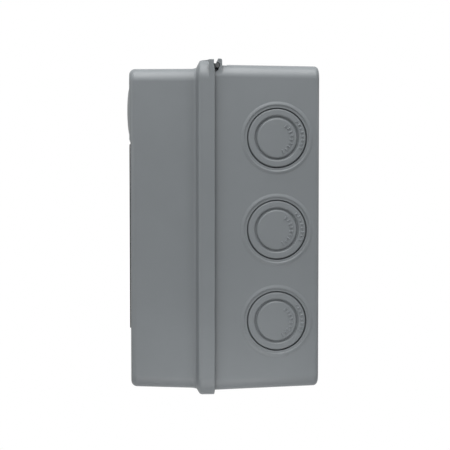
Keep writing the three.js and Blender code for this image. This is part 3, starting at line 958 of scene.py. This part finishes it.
def build_screw(name, cad_node, body, size):
    """A machine screw: head with rounded edge and driver recess, shank and cut thread."""
    centre = cad_centre(cad_node)
    tip, front = cad_depths(cad_node)
    head_radius = cad_high(cad_node).x - centre.x
    head_height, shank_radius = size["head_height"], size["shank_radius"]
    bearing = front - head_height
    root = shank_radius * 0.78
    profile = [(0, tip), (root * 0.55, tip), (root, tip + 0.5)]
    profile += threaded_profile(shank_radius, root, tip + 0.5, bearing - 1.2, size["pitch"])
    profile += [(root, bearing - 1.0), (shank_radius, bearing - 0.6), (shank_radius, bearing),
                (head_radius - 0.2, bearing), (head_radius, bearing + 0.2),
                (head_radius, bearing + head_height * 0.45)]
    crown = arc((0, 0), 1.0, 0, 90, 6)
    rise = head_height * 0.55
    dome_inner = head_radius * 0.62
    for cos_part, sin_part in crown[1:]:
        profile.append((dome_inner + (head_radius - dome_inner) * cos_part,
                        front - rise + rise * sin_part))
    profile.append((0, front))
    screw = lathe(name, profile, 48, at=(centre.x, 0, centre.z))
    recess = cross_recess(centre.x, centre.z, head_radius * 0.58, head_radius * 0.3, front,
                          head_height * 0.6)
    boolean(screw, recess, "DIFFERENCE")
    finish_boolean(screw)
    place(screw, zinc, body, cad_node)


def build_cover_screw(side_name, side):
    """A captive screw, its sealing washer and the brass insert that takes it."""
    at = (SCREW_X * side, 0, SCREW_Z)
    screw_node = f"cover_screw_{side_name}"
    build_screw(f"captive_screw_{side_name}", screw_node, screw_node, COVER_SCREW)

    seal_node = f"screw_seal_{side_name}"
    seal = lathe(f"screw_washer_{side_name}", oval_ring(2.98, 0.72, *cad_depths(seal_node), 14),
                 48, at=at, smooth_angle=80)
    place(seal, seal_rubber, seal_node, seal_node)

    insert_node = f"screw_insert_{side_name}"
    rear, front = cad_depths(insert_node)
    bore, r = INSERT_BORE_RADIUS, INSERT_RADIUS
    waist = r - 0.4
    profile = [(bore, rear), (r - 0.3, rear), (r, rear + 0.3), (r, rear + 3.4),
               (waist, rear + 3.7), (waist, rear + 5.0), (r, rear + 5.3), (r, front - 0.3),
               (r - 0.2, front), (bore + 0.3, front), (bore, front - 0.3)]
    insert = lathe(f"brass_insert_{side_name}", profile, 48, at=at)
    place(insert, brass, "base", insert_node)


def build_hinge_pin(side_name, side):
    """A pin with a low head that lies in the outer ear's seat; its dark colour is painted shade
    over the ear.
    """
    pin_node = f"hinge_pin_{side_name}"
    start = cad_low(pin_node).x if side > 0 else -cad_high(pin_node).x
    r, head = PIN_RADIUS, PIN_HEAD["radius"]
    inner, outer = PIN_HEAD["inner"], PIN_HEAD["outer"]
    profile = [(0, start), (r * 0.6, start), (r, start + 0.3), (r, inner), (head - 0.15, inner),
               (head, inner + 0.15), (head, outer - 0.3), (head - 0.3, outer), (0, outer)]
    pin = lathe(f"steel_pin_{side_name}", profile, 40, axis="X")
    turned_to_side(pin, side, -HINGE_DEPTH, HINGE_Z)
    place(pin, steel_with_painted_shade, "cover", pin_node)


def build_fasteners():
    for side_name, side in SIDES.items():
        build_cover_screw(side_name, side)
        build_hinge_pin(side_name, side)
    for i in range(1, 5):
        build_screw(f"plate_fixing_{i}", f"plate_screw_{i}", "base", PLATE_SCREW)
    for side_name in SIDES:
        build_screw(f"rail_fixing_{side_name}", f"rail_screw_{side_name}", "base", RAIL_SCREW)


# ---------------------------------------------------------------- inside


def finish_cad(node_name, material, width):
    """A better material and rounded edges on a CAD piece whose shape is right."""
    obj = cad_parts[node_name]
    obj.data.materials.clear()
    obj.data.materials.append(material)
    soften(obj, width)


def build_inside():
    finish_cad("mounting_plate", zinc, 0.25)
    finish_cad("din_rail", zinc, 0.3)
    for i in range(1, 7):
        finish_cad(f"terminal_block_{i}", terminal_grey, 0.25)
    finish_cad("earth_terminal", earth_green, 0.25)
    for side_name in SIDES:
        finish_cad(f"end_stop_{side_name}", terminal_grey, 0.3)


# ---------------------------------------------------------------- stage, light and camera


def seen_directly(tree):
    """1 for what the camera sees directly or in a glossy reflection, 0 for diffuse light."""
    path = tree.nodes.new("ShaderNodeLightPath")
    either = node(tree, "ShaderNodeMath", operation="MAXIMUM")
    link(tree, path, "Is Camera Ray", either, 0)
    link(tree, path, "Is Glossy Ray", either, 1)
    return either


FLOOR_SIZE = 9000
FLOOR_Z = -330


def build_stage():
    """A wide pale floor some way below the box, which would hang on a wall."""
    bm = bmesh.new()
    bmesh.ops.create_grid(bm, x_segments=1, y_segments=1, size=FLOOR_SIZE)
    bmesh.ops.translate(bm, vec=(0, 0, FLOOR_Z), verts=bm.verts)
    floor = new_object("floor", bm)
    floor.data.transform(Matrix.Scale(MM, 4))
    paper = bpy.data.materials.new("pale_floor")
    paper.use_nodes = True
    tree = paper.node_tree
    shader = tree.nodes["Principled BSDF"]
    shader.inputs["Base Color"].default_value = (0.5, 0.5, 0.5, 1)
    shader.inputs["Roughness"].default_value = 0.9
    glow = node(tree, "ShaderNodeEmission", Color=(1, 1, 1, 1), Strength=1.0)
    mix = tree.nodes.new("ShaderNodeMixShader")
    link(tree, seen_directly(tree), "Value", mix, 0)
    link(tree, shader, 0, mix, 1)
    link(tree, glow, 0, mix, 2)
    link(tree, mix, 0, tree.nodes["Material Output"], "Surface")
    floor.data.materials.append(paper)


def area_light(name, location, target, size, power):
    data = bpy.data.lights.new(name, "AREA")
    data.size = size
    data.energy = power
    light = bpy.data.objects.new(name, data)
    light.location = location
    light.visible_camera = False
    direction = Vector(target) - Vector(location)
    light.rotation_euler = direction.to_track_quat("-Z", "Y").to_euler()
    bpy.context.scene.collection.objects.link(light)


def build_light():
    """A surround that is white to the camera and in reflections, a large soft light overhead,
    weaker ones beside the camera, in front and behind, and a small glow from below."""
    world = bpy.data.worlds.new("studio")
    bpy.context.scene.world = world
    world.use_nodes = True
    tree = world.node_tree
    background = tree.nodes["Background"]
    background.inputs["Color"].default_value = (1, 1, 1, 1)
    coords = tree.nodes.new("ShaderNodeTexCoord")
    parts = tree.nodes.new("ShaderNodeSeparateXYZ")
    link(tree, coords, "Generated", parts, "Vector")
    sky = remap(tree, parts, "Z", -0.3, 0.9, 0.13, 0.33)
    strength = node(tree, "ShaderNodeMix", B=1.0)
    link(tree, seen_directly(tree), "Value", strength, "Factor")
    link(tree, sky, "Result", strength, "A")
    link(tree, strength, "Result", background, "Strength")
    centre = (0, -0.05, 0)
    area_light("overhead", (0.22, -0.08, 0.52), centre, 0.4, 3.8)
    area_light("camera_side", (0.55, -0.05, 0.5), centre, 0.25, 0.75)
    area_light("front_side", (0.3, -0.85, 0.1), centre, 0.4, 1.35)
    area_light("wall_side", (0.3, 0.75, 0.1), centre, 0.4, 1.0)
    area_light("table_glow", (0.16, -0.05, -0.16), (0.06, -0.05, -0.06), 0.12, 0.115)
    bpy.context.scene.view_settings.view_transform = "Standard"


CAMERA_AZIMUTH = 86.9
CAMERA_ELEVATION = 2.6
CAMERA_DISTANCE = 0.65
CAMERA_LENS = 90.5
CAMERA_CENTRE = Vector((0, -0.0495, 0))
CAMERA_TARGET = Vector((0, -0.0459, -0.0008))


def build_camera():
    azimuth, elevation = math.radians(CAMERA_AZIMUTH), math.radians(CAMERA_ELEVATION)
    away = Vector((math.cos(elevation) * math.sin(azimuth),
                   -math.cos(elevation) * math.cos(azimuth), math.sin(elevation)))
    data = bpy.data.cameras.new("camera")
    data.lens = CAMERA_LENS
    data.sensor_width = 36
    data.clip_start = 0.01
    camera = bpy.data.objects.new("camera", data)
    camera.location = CAMERA_CENTRE + away * CAMERA_DISTANCE
    view = CAMERA_TARGET - camera.location
    camera.rotation_euler = view.to_track_quat("-Z", "Y").to_euler()
    bpy.context.scene.collection.objects.link(camera)
    bpy.context.scene.camera = camera


# ---------------------------------------------------------------- build

build_camera()
build_stage()
build_light()
build_back_box()
build_knockouts()
build_cover()
build_gasket()
build_label()
build_plug()
build_fasteners()
build_inside()
